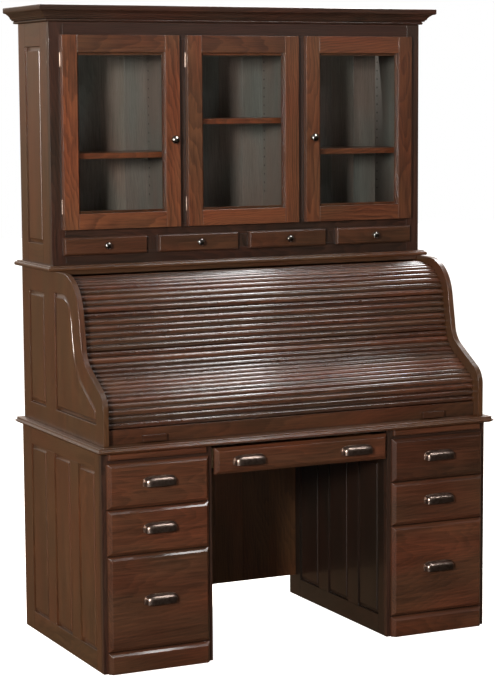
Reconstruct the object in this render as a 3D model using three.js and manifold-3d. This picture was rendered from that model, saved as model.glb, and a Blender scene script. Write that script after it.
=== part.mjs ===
// Roll top desk with a glazed hutch, in millimetres, +Z up.
// Desk frame: X = 0 at the middle, Y = 0 at the front of the pedestals' face frames with +Y to
// the back, Z = 0 at the floor. The group is shifted so that the origin ends up at the middle
// of the bottom of the whole object's box.
import * as THREE from 'three';
import { mergeVertices } from 'three/addons/utils/BufferGeometryUtils.js';
import Module from 'manifold-3d';

const wasm = await Module();
wasm.setup();

// ---- Driving dimensions ------------------------------------------------------------------
const GAP = 0.3;                      // between pieces that touch

const DESK_HEIGHT = 768;              // writing surface
const BACK = 760;                     // back plane of base, roll section and hutch
const BOARD = 20;                     // solid wood in sides, fronts and frames
const PANEL = 12;                     // back panels
const OVERHANG = 22;                  // tops over sides and back

const BASE_HALF = 741;                // half width of the base
const KNEE_HALF = 340;                // half width of the kneehole
const TOP_THICK = 22;
const TOP_FRONT = -31;                // nose of the desk top
const BASE_TOP = DESK_HEIGHT - TOP_THICK;
const PEDESTAL_MID = (BASE_HALF + KNEE_HALF) / 2;
const FRONT_HALF = 185;               // half width of a drawer front
const OPENING_HALF = FRONT_HALF - 15; // half width of the frame opening behind it
const FRONT_THICK = 20;
const BEVEL = 12;                     // bevel round a drawer front
const DRAWER_FRONTS = { top: [559, 712], middle: [402, 555], bottom: [76, 398] };
const OVERLAY = 10;                   // how far a front covers its opening, above and below
const PLINTH_TOP = 71;
const DRAWER_DEPTH = 550;
const SLIDE_CLEARANCE = 13;
const DRAWER_WALL = 12;
const DRAWER_BOTTOM = 8;

const ROLL_HALF = 733;
const ROLL_FRONT = -5;
const DECK_BOTTOM = 1318;             // underside of the board that carries the hutch
const DECK_THICK = 18;
const DECK_FRONT = 427;
const HEADER = { front: 432, back: 450, bottom: 1297 };
// Corners of the S-shaped front edge of the roll sides, as [y, z, radius]
const S_CORNERS = [[ROLL_FRONT, 925, 75], [176.5, 1033.5, 89], [229, DECK_BOTTOM, 150]];
const CANVAS_SETBACK = 46;            // canvas behind the slats, inside the S edge
const SLAT_PITCH = 22;
// Half-round slat section as [along the curtain, height above the canvas]
const SLAT_SECTION = [[-10.6, 0], [-9.8, 4.5], [-6.5, 8.5], [0, 10], [6.5, 8.5], [9.8, 4.5], [10.6, 0]];
const CANVAS = { thick: 1.2, endInset: 3.6 };
const SLATS_IN_SECTION = [4, 7, 4, 6, 4, 6];
const RAIL = { bottom: DESK_HEIGHT + 0.8, top: 817.8, front: 27, back: 42 };
const CURTAIN_HALF = ROLL_HALF - BOARD - 0.6;

const HUTCH_HALF = 731;
const HUTCH_FRONT = 455;
const HUTCH_BOTTOM = DECK_BOTTOM + DECK_THICK;
const CROWN_BOTTOM = 2173;
const CROWN_CAP = 2209;
const DOOR = {
  half: 220, pitch: 470, bottom: 1458, top: 2128, stile: 55, topRail: 60, thick: 20,
};
const HUTCH_DRAWER = {
  half: 156, pitch: 356, bottom: 1370, top: 1431, depth: 265, thick: 16, bevel: 6, wall: 9, floor: 6,
};
const HUTCH_DECK = [1440, 1458];
const KNOB_HEIGHT = 1764;

// ---- Materials ---------------------------------------------------------------------------
const wood = (color) => new THREE.MeshStandardMaterial({ color, roughness: 0.4, metalness: 0 });
const CARCASS = 0x4a2f25;
const FACE = 0x6a3f2b;
const SLATS = 0x5d3d30;
const INSIDE = 0x7a5640;
const metal = () => new THREE.MeshStandardMaterial({ color: 0x4b4440, roughness: 0.3, metalness: 1 });
const glass = () => new THREE.MeshStandardMaterial({
  color: 0xdfe7e8, roughness: 0.05, metalness: 0, transparent: true, opacity: 0.25,
});

// ---- Solids ------------------------------------------------------------------------------
function toSolid(geometry) {
  const bare = geometry.clone();
  bare.deleteAttribute('normal');
  bare.deleteAttribute('uv');
  const merged = mergeVertices(bare, 1e-4);
  return new wasm.Manifold(new wasm.Mesh({
    numProp: 3,
    vertProperties: Float32Array.from(merged.attributes.position.array),
    triVerts: Uint32Array.from(merged.index.array),
  }));
}

function toGeometry(solid) {
  const mesh = solid.getMesh();
  const geometry = new THREE.BufferGeometry();
  geometry.setAttribute('position', new THREE.BufferAttribute(mesh.vertProperties, 3));
  geometry.setIndex(new THREE.BufferAttribute(mesh.triVerts, 1));
  geometry.computeVertexNormals();
  return geometry;
}

function join(...geometries) {
  return toGeometry(geometries.map(toSolid).reduce((sum, next) => sum.add(next)));
}

function cut(geometry, ...tools) {
  return toGeometry(tools.map(toSolid).reduce((rest, tool) => rest.subtract(tool), toSolid(geometry)));
}

// A box from its limits along X, Y and Z
function block([x0, x1], [y0, y1], [z0, z1]) {
  return new THREE.BoxGeometry(x1 - x0, y1 - y0, z1 - z0)
    .translate((x0 + x1) / 2, (y0 + y1) / 2, (z0 + z1) / 2);
}

function mirrored(geometry) {
  return toGeometry(toSolid(geometry).mirror([1, 0, 0]));
}

// A closed stack of rectangles: each level is { at, x: [x0, x1], y: [y0, y1] } along Z
function stack(levels) {
  const positions = [];
  const index = [];
  for (const { at, x, y } of levels) {
    positions.push(x[0], y[0], at, x[1], y[0], at, x[1], y[1], at, x[0], y[1], at);
  }
  for (let level = 0; level < levels.length - 1; level++) {
    for (let side = 0; side < 4; side++) {
      const a = 4 * level + side;
      const b = 4 * level + (side + 1) % 4;
      index.push(a, b, b + 4, a, b + 4, a + 4);
    }
  }
  const top = 4 * (levels.length - 1);
  index.push(0, 2, 1, 0, 3, 2, top, top + 1, top + 2, top, top + 2, top + 3);
  const geometry = new THREE.BufferGeometry();
  geometry.setAttribute('position', new THREE.Float32BufferAttribute(positions, 3));
  geometry.setIndex(index);
  geometry.computeVertexNormals();
  return geometry;
}

// A board whose front edges are bevelled, facing -Y, its back at y = back
function bevelledBoard([x0, x1], [z0, z1], back, thick, bevel) {
  const level = (at, inset) => ({ at, x: [x0 + inset, x1 - inset], y: [z0 + inset, z1 - inset] });
  return stack([level(0, 0), level(thick - bevel, 0), level(thick, bevel)])
    .rotateX(Math.PI / 2)
    .translate(0, back, 0);
}

// A line and fillet path through [a, b, radius] corners
function filletPath(path, start, corners, end) {
  path.moveTo(...start);
  const points = [start, ...corners, end].map(([a, b]) => new THREE.Vector2(a, b));
  corners.forEach(([, , radius], n) => {
    const corner = points[n + 1];
    const before = points[n].clone().sub(corner).normalize();
    const after = points[n + 2].clone().sub(corner).normalize();
    const halfAngle = Math.acos(before.dot(after)) / 2;
    const centre = before.clone().add(after).normalize()
      .multiplyScalar(radius / Math.sin(halfAngle)).add(corner);
    const reach = radius / Math.tan(halfAngle);
    const from = before.clone().multiplyScalar(reach).add(corner);
    const to = after.clone().multiplyScalar(reach).add(corner);
    path.lineTo(from.x, from.y);
    path.absarc(centre.x, centre.y, radius,
      from.clone().sub(centre).angle(), to.clone().sub(centre).angle(), before.cross(after) > 0);
  });
  path.lineTo(...end);
  return path;
}

// Extrudes an outline drawn as (y, z) along X
function alongX(shape, [x0, x1], segments = 8) {
  const turn = new THREE.Matrix4().makeBasis(
    new THREE.Vector3(0, 1, 0), new THREE.Vector3(0, 0, 1), new THREE.Vector3(1, 0, 0));
  return new THREE.ExtrudeGeometry(shape, { depth: x1 - x0, bevelEnabled: false, curveSegments: segments })
    .applyMatrix4(turn).translate(x0, 0, 0);
}

// ---- Shared details ----------------------------------------------------------------------
const PANEL_GROOVE = 7;    // how deep a raised panel's border sits below its frame
const PANEL_BEVEL = 16;    // width of the raised panel's sloping border

// Joins two outlines of equal point counts, drawn as (y, z), at two places along X
function loft(fromShape, fromX, toShape, toX) {
  const [low, high] = [[fromShape, fromX], [toShape, toX]].sort(([, a], [, b]) => a - b);
  const ring = ([shape, x]) => {
    const points = shape.getPoints(5);
    if (points[0].distanceTo(points.at(-1)) < 1e-6) points.pop();
    if (THREE.ShapeUtils.isClockWise(points)) points.reverse();
    return points.map(({ x: y, y: z }) => [x, y, z]);
  };
  const rings = [ring(low), ring(high)];
  const count = rings[0].length;
  const index = [];
  for (let n = 0; n < count; n++) {
    const next = (n + 1) % count;
    index.push(n, next, next + count, n, next + count, n + count);
  }
  rings.forEach((points, end) => {
    const flat = points.map(([, y, z]) => new THREE.Vector2(y, z));
    for (const [a, b, c] of THREE.ShapeUtils.triangulateShape(flat, [])) {
      index.push(...(end ? [a, b, c] : [a, c, b]).map((corner) => corner + end * count));
    }
  });
  const geometry = new THREE.BufferGeometry();
  geometry.setAttribute('position', new THREE.Float32BufferAttribute(rings.flat(2), 3));
  geometry.setIndex(index);
  return geometry;
}

// Cuts a raised panel into the face of a side at x = face: -1 faces left, +1 faces right.
// outline(inset) is the panel's outline, drawn as (y, z), moved inwards by inset
function panelInSide(side, outline, face, outward) {
  const floor = face - outward * PANEL_GROOVE;
  const pocket = alongX(outline(0), [floor, face + outward].sort((a, b) => a - b), 5);
  const field = loft(outline(1), floor - outward * 2, outline(PANEL_BEVEL), face - outward);
  return join(cut(side, pocket), field);
}

function rectangle([a0, a1], [b0, b1]) {
  return (inset) => new THREE.Shape([
    [a0 + inset, b0 + inset], [a1 - inset, b0 + inset], [a1 - inset, b1 - inset], [a0 + inset, b1 - inset],
  ].map(([a, b]) => new THREE.Vector2(a, b)));
}

// An open-topped drawer box, its front wall's face at y = front
function drawerBox([x0, x1], [z0, z1], front, depth, wall, bottom) {
  return cut(
    block([x0, x1], [front, front + depth], [z0, z1]),
    block([x0 + wall, x1 - wall], [front + wall, front + depth - wall], [z0 + bottom, z1 + 1]),
  );
}

function knob(x, y, z, radius, reach) {
  const profile = [[0, -2], [0.45, -2], [0.45, 0.3 * reach], [0.8, 0.45 * reach], [1, 0.65 * reach],
    [0.8, 0.9 * reach], [0, reach]].map(([r, h]) => new THREE.Vector2(r * radius, h));
  return new THREE.LatheGeometry(profile, 12).rotateX(Math.PI).translate(x, y, z);
}

const nodes = [];
function node(name, geometry, material) {
  const mesh = new THREE.Mesh(geometry, material);
  mesh.name = name;
  nodes.push(mesh);
}

// ---- Base: pedestals ---------------------------------------------------------------------
const frontsByName = Object.entries(DRAWER_FRONTS);
// A drawer box inside its opening: clearances below and above it, and the tallest box
const DRAWER_BOX = { below: 6, above: 10, tallest: 254 };
function drawerBoxHeights([z0, z1]) {
  const bottom = z0 + OVERLAY + DRAWER_BOX.below;
  return [bottom, Math.min(z1 - OVERLAY - DRAWER_BOX.above, bottom + DRAWER_BOX.tallest)];
}

const KNEE_DRAWER = { half: 333, z: [645, 735], boxHalf: 318, boxZ: [658, 724], depth: 450 };
const SIDE_PANELS = [[60, 212], [288, 442], [518, 672]];   // y limits of the three raised panels
const SIDE_PANEL_Z = [68, 684];
const KNEE_PANEL_TOP = KNEE_DRAWER.boxZ[0] - 30;
const RUNNER = { underBox: 8, thick: 12, clearance: 0.5, front: BOARD + 10 };

// A strip along Y that carries a drawer box whose bottom is at z
function runner(ends, back, z) {
  const top = z - RUNNER.clearance;
  return block(ends.sort((a, b) => a - b), [RUNNER.front, back], [top - RUNNER.thick, top]);
}

// Strips that carry the pedestal drawers, on the face x of a side, reaching towards +X or -X
function runners(x, towards) {
  const ends = [x - towards * 2, x + towards * (SLIDE_CLEARANCE + RUNNER.underBox)];
  return frontsByName.map(([, z]) => runner(ends, DRAWER_DEPTH, drawerBoxHeights(z)[0]));
}

function outerSide() {
  let side = block([-BASE_HALF, -BASE_HALF + BOARD], [BOARD + GAP, BACK], [0, BASE_TOP - GAP]);
  for (const y of SIDE_PANELS) {
    side = panelInSide(side, rectangle(y, SIDE_PANEL_Z), -BASE_HALF, -1);
  }
  return join(side, ...runners(-BASE_HALF + BOARD, 1));
}

function innerSide() {
  const outer = -KNEE_HALF;
  let side = block([outer - BOARD, outer], [BOARD + GAP, BACK], [0, BASE_TOP - GAP]);
  for (const y of SIDE_PANELS) {
    side = panelInSide(side, rectangle(y, [SIDE_PANEL_Z[0], KNEE_PANEL_TOP]), outer, 1);
  }
  const kneeRunner = runner(
    [outer - 2, RUNNER.underBox - KNEE_DRAWER.boxHalf], KNEE_DRAWER.depth, KNEE_DRAWER.boxZ[0]);
  return join(side, kneeRunner, ...runners(outer - BOARD, -1));
}

const PULL_OUT = {
  half: 178, z: [723, 744.5], boardHalf: 167, boardZ: [725, 743.5], nose: 14, bevel: 4, depth: 500,
};

function faceFrame() {
  const x = -PEDESTAL_MID;
  const opening = ([z0, z1]) => block([x - OPENING_HALF, x + OPENING_HALF], [-1, BOARD + 1], [z0, z1]);
  const frame = cut(
    block([-BASE_HALF, -KNEE_HALF], [0, BOARD], [0, BASE_TOP - GAP]),
    ...frontsByName.map(([, [z0, z1]]) => opening([z0 + OVERLAY, z1 - OVERLAY])),
    opening([PULL_OUT.boardZ[0] - 1, BASE_TOP]),
  );
  const plinthX = [x - FRONT_HALF, x + FRONT_HALF];
  const plinth = cut(
    bevelledBoard(plinthX, [-BEVEL, PLINTH_TOP], 1, FRONT_THICK + 1, BEVEL),
    block([-BASE_HALF, 0], [-FRONT_THICK - 5, 5], [-BEVEL - 5, 0]),
  );
  return join(frame, plinth);
}

const pedestalBack = block(
  [-BASE_HALF + BOARD + GAP, -KNEE_HALF - BOARD - GAP], [BACK - PANEL, BACK], [20, BASE_TOP - GAP]);

const pedestalPieces = {
  outer_side: outerSide(),
  inner_side: innerSide(),
  pedestal_back: pedestalBack,
  face_frame: faceFrame(),
};
for (const [name, geometry] of Object.entries(pedestalPieces)) {
  node(`left_${name}`, geometry, wood(CARCASS));
  node(`right_${name}`, mirrored(geometry), wood(CARCASS));
}

const MODESTY = { front: 708, thick: 18, bottom: 80 };
node('modesty_panel', block(
  [-KNEE_HALF + GAP, KNEE_HALF - GAP],
  [MODESTY.front, MODESTY.front + MODESTY.thick],
  [MODESTY.bottom, BASE_TOP - GAP]), wood(CARCASS));

// ---- Base: drawers, pulls and pull-out boards ----------------------------------------------
function drawer(x, frontHalf, z, boxHalf, boxZ, depth) {
  return join(
    bevelledBoard([x - frontHalf, x + frontHalf], z, -GAP, FRONT_THICK - GAP, BEVEL),
    drawerBox([x - boxHalf, x + boxHalf], boxZ, -2, depth, DRAWER_WALL, DRAWER_BOTTOM),
  );
}

const PULL = { half: 61, reach: 25, height: 32, wall: 2.5, squareness: 4.8 };

// A cup pull: a quarter of a squared-off ellipsoid, hollow and open below, back at y = 0
function cupPull() {
  const shell = (half, reach, height) => {
    const ball = new THREE.SphereGeometry(1, 16, 12).rotateX(Math.PI / 2);
    const p = ball.attributes.position;
    for (let n = 0; n < p.count; n++) {
      const v = [p.getX(n), p.getY(n), p.getZ(n)];
      const norm = v.reduce((sum, c) => sum + Math.abs(c) ** PULL.squareness, 0) ** (1 / PULL.squareness);
      p.setXYZ(n, v[0] / norm * half, v[1] / norm * reach, v[2] / norm * height);
    }
    return ball;
  };
  const big = 2 * PULL.half;
  return cut(
    shell(PULL.half, PULL.reach, PULL.height),
    shell(PULL.half - PULL.wall, PULL.reach - PULL.wall, PULL.height - PULL.wall),
    block([-big, big], [0, big], [-big, big]),
    block([-big, big], [-big, big], [-big, 0]),
  );
}

function pull(name, x, z) {
  node(name, cupPull().translate(x, -FRONT_THICK - GAP, z - PULL.height / 2), metal());
}

const pullHeights = { top: 646, middle: 489, bottom: 245 };
for (const [side, sign] of [['left', -1], ['right', 1]]) {
  const x = sign * PEDESTAL_MID;
  for (const [level, z] of frontsByName) {
    const boxHalf = OPENING_HALF - SLIDE_CLEARANCE;
    node(`${side}_${level}_drawer`,
      drawer(x, FRONT_HALF, z, boxHalf, drawerBoxHeights(z), DRAWER_DEPTH), wood(FACE));
    pull(`${side}_${level}_pull`, x, pullHeights[level]);
  }
  const board = block(
    [x - PULL_OUT.boardHalf, x + PULL_OUT.boardHalf], [-2, PULL_OUT.depth], PULL_OUT.boardZ);
  const nose = bevelledBoard(
    [x - PULL_OUT.half, x + PULL_OUT.half], PULL_OUT.z, -GAP, PULL_OUT.nose, PULL_OUT.bevel);
  node(`${side}_writing_board`, join(board, nose), wood(FACE));
}

const { half: kneeHalf, z: kneeZ, boxHalf: kneeBoxHalf, boxZ: kneeBoxZ, depth: kneeDepth } = KNEE_DRAWER;
node('knee_drawer', drawer(0, kneeHalf, kneeZ, kneeBoxHalf, kneeBoxZ, kneeDepth), wood(FACE));
const KNEE_PULL = { x: 208, z: 690 };
pull('knee_left_pull', -KNEE_PULL.x, KNEE_PULL.z);
pull('knee_right_pull', KNEE_PULL.x, KNEE_PULL.z);

// ---- Desk top ------------------------------------------------------------------------------
// Edge profile of a moulded board as [height above its bottom, inset]
function mouldedBoard(bottom, halfWidth, [y0, y1], profile) {
  return stack(profile.map(([height, inset]) => ({
    at: bottom + height,
    x: [-halfWidth + inset, halfWidth - inset],
    y: [y0 + inset, y1 - inset],
  })));
}
node('desk_top', mouldedBoard(BASE_TOP, BASE_HALF + OVERHANG, [TOP_FRONT, BACK + OVERHANG],
  [[0, 9], [5, 1], [8, 0], [11, 1], [13, 5], [19, 7], [TOP_THICK, 11]]), wood(CARCASS));

// ---- Roll section --------------------------------------------------------------------------
const rollBottom = DESK_HEIGHT + GAP;
const rollTop = DECK_BOTTOM - GAP;

function rollOutline() {
  const corners = S_CORNERS.map(([y, z, radius]) => [y, Math.min(z, rollTop), radius]);
  const outline = filletPath(new THREE.Shape(), [ROLL_FRONT, rollBottom], corners, [BACK, rollTop]);
  outline.lineTo(BACK, rollBottom);
  return outline;
}

// Each corner moved inwards by the same distance from both of its edges
function setBack(start, corners, end, distance) {
  const points = [start, ...corners, end];
  const inward = (a, b) => {
    const along = new THREE.Vector2(b[0] - a[0], b[1] - a[1]).normalize();
    return new THREE.Vector2(along.y, -along.x);
  };
  return corners.map(([y, z, radius], n) => {
    const before = inward(points[n], points[n + 1]);
    const after = inward(points[n + 1], points[n + 2]);
    const shift = before.clone().add(after).multiplyScalar(distance / (1 + before.dot(after)));
    return [y + shift.x, z + shift.y, radius - distance * Math.sign(after.cross(before))];
  });
}

const REAR_PANEL = { y: [536, 690], z: [833, 1236] };
const FRONT_PANEL = { back: 436, bottom: 835, top: 1246, setback: 66 };

function frontPanelOutline(inset) {
  const { back, bottom, top, setback } = FRONT_PANEL;
  const [low, bend, high] = setBack(
    [ROLL_FRONT, rollBottom], S_CORNERS, [BACK, DECK_BOTTOM], setback + inset);
  const corners = [[low[0], low[1], 22 - inset], bend, [high[0], top - inset, 90 - inset]];
  const shape = filletPath(
    new THREE.Shape(), [low[0], bottom + inset], corners, [back - inset, top - inset]);
  shape.lineTo(back - inset, bottom + inset);
  return shape;
}

function rollSide() {
  const side = alongX(rollOutline(), [-ROLL_HALF, -ROLL_HALF + BOARD]);
  const framed = panelInSide(side, rectangle(REAR_PANEL.y, REAR_PANEL.z), -ROLL_HALF, -1);
  return panelInSide(framed, frontPanelOutline, -ROLL_HALF, -1);
}
node('left_roll_side', rollSide(), wood(CARCASS));
node('right_roll_side', mirrored(rollSide()), wood(CARCASS));

const ROLL_INNER = ROLL_HALF - BOARD - GAP;
node('roll_back', block(
  [-ROLL_INNER, ROLL_INNER], [BACK - PANEL, BACK], [rollBottom, rollTop]), wood(CARCASS));

const deck = mouldedBoard(DECK_BOTTOM, ROLL_HALF + OVERHANG - 1, [DECK_FRONT, BACK + OVERHANG],
  [[0, 2], [3, 0], [8, 0], [13, 4], [DECK_THICK, 12]]);
const header = block(
  [-ROLL_INNER, ROLL_INNER], [HEADER.front, HEADER.back], [HEADER.bottom, DECK_BOTTOM + 2]);
node('deck_board', join(deck, header), wood(CARCASS));

// ---- Tambour: a lift rail and six sections of slats on canvas --------------------------------
const canvasFront = ROLL_FRONT + CANVAS_SETBACK;
const canvasCorners = setBack(
  [ROLL_FRONT, rollBottom], S_CORNERS, [BACK, DECK_BOTTOM], CANVAS_SETBACK);
const canvasLine = filletPath(
  new THREE.Path(), [canvasFront, RAIL.top + GAP], canvasCorners, [HEADER.back + 100, canvasCorners[2][1]]);
const canvasLength = canvasLine.getLength();

// A point of slat n, u along the curtain and height above the canvas
function slatPoint(n, [u, height]) {
  const where = (n + 0.5) * SLAT_PITCH / canvasLength;
  const centre = canvasLine.getPointAt(where);
  const along = canvasLine.getTangentAt(where);
  return new THREE.Vector2(
    centre.x + along.x * u - along.y * height, centre.y + along.y * u + along.x * height);
}

// The canvas stops short at both ends of a section, so that sections can fold either way
function tambourSection(first, count) {
  const last = first + count - 1;
  const edge = SLAT_SECTION.at(-1)[0];
  const points = [];
  for (let n = first; n <= last; n++) {
    points.push(...SLAT_SECTION.map((corner) => slatPoint(n, corner)));
  }
  for (let n = last; n >= first; n--) {
    const upper = n === last ? edge - CANVAS.endInset : edge;
    const lower = n === first ? CANVAS.endInset - edge : -edge;
    points.push(slatPoint(n, [upper, -CANVAS.thick]), slatPoint(n, [lower, -CANVAS.thick]));
  }
  return alongX(new THREE.Shape(points), [-CURTAIN_HALF, CURTAIN_HALF]);
}

let firstSlat = 0;
SLATS_IN_SECTION.forEach((count, n) => {
  node(`tambour_${n + 1}`, tambourSection(firstSlat, count), wood(SLATS));
  firstSlat += count;
});

const RAIL_PULL = { x: 540, half: 44, z: [772, 795], reach: 13 };
const railPulls = [-1, 1].map((sign) => block(
  [sign * RAIL_PULL.x - RAIL_PULL.half, sign * RAIL_PULL.x + RAIL_PULL.half],
  [RAIL.front - RAIL_PULL.reach, RAIL.front + 2], RAIL_PULL.z));
node('lift_rail', join(
  block([-CURTAIN_HALF, CURTAIN_HALF], [RAIL.front, RAIL.back], [RAIL.bottom, RAIL.top]),
  ...railPulls), wood(FACE));

// ---- Pigeonhole organiser inside the roll ---------------------------------------------------
const ORGANISER = {
  half: 700, front: 395, back: 600, bottom: DESK_HEIGHT + 0.4, top: 1050, wall: 12, columns: 5,
};

function organiser() {
  const { half, front, back, bottom, top, wall, columns } = ORGANISER;
  const pitch = (2 * half - wall) / columns;
  const holes = [];
  for (let column = 0; column < columns; column++) {
    const x = [-half + wall + column * pitch, -half + (column + 1) * pitch];
    holes.push(block(x, [front - 1, back - wall], [bottom + wall, top - wall]));
  }
  return cut(block([-half, half], [front, back], [bottom, top]), ...holes);
}
node('organiser', organiser(), wood(INSIDE));

// ---- Hutch -----------------------------------------------------------------------------------
const hutchBottom = HUTCH_BOTTOM + GAP;
const hutchTop = CROWN_BOTTOM - GAP;
const frameBack = HUTCH_FRONT + BOARD;
const hutchInner = HUTCH_HALF - BOARD;
const insideY = [frameBack + GAP, BACK - PANEL - GAP];

const HUTCH_PANEL = { y: [540, 694], z: [1405, 2091] };
const hutchSide = panelInSide(
  block([-HUTCH_HALF, -HUTCH_HALF + BOARD], [frameBack + GAP, BACK], [hutchBottom, hutchTop]),
  rectangle(HUTCH_PANEL.y, HUTCH_PANEL.z), -HUTCH_HALF, -1);
node('left_hutch_side', hutchSide, wood(CARCASS));
node('right_hutch_side', mirrored(hutchSide), wood(CARCASS));

node('hutch_back', block(
  [-hutchInner + GAP, hutchInner - GAP], [BACK - PANEL, BACK], [hutchBottom, hutchTop]), wood(CARCASS));

const DOOR_OVERLAY = 12;
const FRONT_OVERLAY = 8;
const doorColumns = [-1, 0, 1].map((n) => n * DOOR.pitch);
const drawerColumns = [-1.5, -0.5, 0.5, 1.5].map((n) => n * HUTCH_DRAWER.pitch);

function hutchFrame() {
  const opening = (x, half, z0, z1) => block(
    [x - half, x + half], [HUTCH_FRONT - 1, frameBack + 1], [z0, z1]);
  return cut(
    block([-HUTCH_HALF, HUTCH_HALF], [HUTCH_FRONT, frameBack], [hutchBottom, hutchTop]),
    ...doorColumns.map((x) => opening(
      x, DOOR.half - DOOR_OVERLAY, DOOR.bottom + DOOR_OVERLAY, DOOR.top - DOOR_OVERLAY)),
    ...drawerColumns.map((x) => opening(
      x, HUTCH_DRAWER.half - FRONT_OVERLAY, HUTCH_DRAWER.bottom + FRONT_OVERLAY,
      HUTCH_DRAWER.top - FRONT_OVERLAY)),
  );
}
node('hutch_face_frame', hutchFrame(), wood(CARCASS));

// Crown profile as [z, projection from the hutch], from its bead up to its cap
const CROWN_PROFILE = [[0, 7], [5, 11], [10, 11], [11, 17], [14, 17], [17, 23], [25, 31], [34, 37],
  [36, 46], [38, 48], [54, 48], [56, 46]];

function crown() {
  const moulding = stack(CROWN_PROFILE.map(([height, out]) => ({
    at: CROWN_BOTTOM + height,
    x: [-HUTCH_HALF - out, HUTCH_HALF + out],
    y: [HUTCH_FRONT - out, BACK + Math.min(out, OVERHANG)],
  })));
  const inside = block(
    [-hutchInner, hutchInner], [frameBack, BACK - PANEL], [CROWN_BOTTOM - 1, CROWN_CAP]);
  return cut(moulding, inside);
}
node('crown', crown(), wood(CARCASS));

const DIVIDER = 18;
const drawerDividers = [-1, 0, 1].map((n) => n * HUTCH_DRAWER.pitch).map((x) => block(
  [x - DIVIDER / 2, x + DIVIDER / 2], insideY, [hutchBottom, HUTCH_DECK[0] + 2]));
node('hutch_deck', join(
  block([-hutchInner + GAP, hutchInner - GAP], insideY, HUTCH_DECK), ...drawerDividers), wood(CARCASS));

const partitionX = DOOR.pitch / 2;
for (const [side, sign] of [['left', -1], ['right', 1]]) {
  node(`${side}_partition`, block(
    [sign * partitionX - DIVIDER / 2, sign * partitionX + DIVIDER / 2], insideY,
    [HUTCH_DECK[1] + GAP, hutchTop]), wood(INSIDE));
}

const SHELF_THICK = 20;
const shelfBottoms = { left: 1701, middle: 1816, right: 1701 };
const shelfX = {
  left: [-hutchInner + 1, -partitionX - DIVIDER / 2 - 1],
  middle: [-partitionX + DIVIDER / 2 + 1, partitionX - DIVIDER / 2 - 1],
  right: [partitionX + DIVIDER / 2 + 1, hutchInner - 1],
};
for (const [side, z] of Object.entries(shelfBottoms)) {
  const shelf = block(shelfX[side], [frameBack + 12, insideY[1] - 1], [z, z + SHELF_THICK]);
  node(`${side}_shelf`, shelf, wood(INSIDE));
}

// ---- Hutch doors and small drawers ------------------------------------------------------------
const GLASS = { thick: 4, rebate: 7, y: HUTCH_FRONT - 11 };

function doorFrame(x) {
  const face = HUTCH_FRONT - DOOR.thick - GAP;
  const inner = (extra, y) => block(
    [x - DOOR.half + DOOR.stile - extra, x + DOOR.half - DOOR.stile + extra], y,
    [DOOR.bottom + DOOR.stile - extra, DOOR.top - DOOR.topRail + extra]);
  return cut(
    block([x - DOOR.half, x + DOOR.half], [face, HUTCH_FRONT - GAP], [DOOR.bottom, DOOR.top]),
    inner(0, [face - 1, HUTCH_FRONT]),
    inner(GLASS.rebate, [GLASS.y, HUTCH_FRONT]),
  );
}

function pane(x) {
  const lap = GLASS.rebate - GAP;
  return block(
    [x - DOOR.half + DOOR.stile - lap, x + DOOR.half - DOOR.stile + lap],
    [GLASS.y + GAP, GLASS.y + GAP + GLASS.thick],
    [DOOR.bottom + DOOR.stile - lap, DOOR.top - DOOR.topRail + lap]);
}

const DOOR_KNOB = { x: 276, radius: 15, reach: 27 };
const doorFace = HUTCH_FRONT - DOOR.thick - GAP;
const doors = { left: -1, middle: 0, right: 1 };
for (const [side, sign] of Object.entries(doors)) {
  const x = sign * DOOR.pitch;
  const frame = doorFrame(x);
  const withKnob = sign && join(
    frame, knob(sign * DOOR_KNOB.x, doorFace, KNOB_HEIGHT, DOOR_KNOB.radius, DOOR_KNOB.reach));
  node(`${side}_door`, withKnob || frame, wood(FACE));
  node(`${side}_glass`, pane(x), glass());
}

const SMALL_KNOB = { radius: 13, reach: 24 };
drawerColumns.forEach((x, n) => {
  const { half, bottom, top, depth, thick, bevel, wall, floor } = HUTCH_DRAWER;
  const boxHalf = half - FRONT_OVERLAY - 2;
  const boxZ = [bottom + FRONT_OVERLAY + 2, top - FRONT_OVERLAY - 3];
  node(`hutch_drawer_${n + 1}`, join(
    bevelledBoard([x - half, x + half], [bottom, top], HUTCH_FRONT - GAP, thick, bevel),
    drawerBox([x - boxHalf, x + boxHalf], boxZ, HUTCH_FRONT - 2, depth, wall, floor),
    knob(x, HUTCH_FRONT - GAP - thick, (bottom + top) / 2, SMALL_KNOB.radius, SMALL_KNOB.reach),
  ), wood(FACE));
});

// ---- The whole desk -----------------------------------------------------------------------------
const frontMost = -FRONT_THICK - GAP - PULL.reach;
const rearMost = BACK + OVERHANG;
const group = new THREE.Group();
group.add(...nodes);
group.position.y = -(frontMost + rearMost) / 2;

export default group;
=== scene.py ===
"""Roll top desk with a glazed hutch: the looks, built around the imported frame.

Sizes are millimetres in the desk's own frame, as in the CAD: X = 0 at the middle, Y = 0 at the
front of the pedestals' face frames with +Y to the back, Z = 0 at the floor. place() turns them
into metres in the row frame.
"""
import math
import random

import bmesh
import bpy
from mathutils import Matrix, Vector


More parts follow.
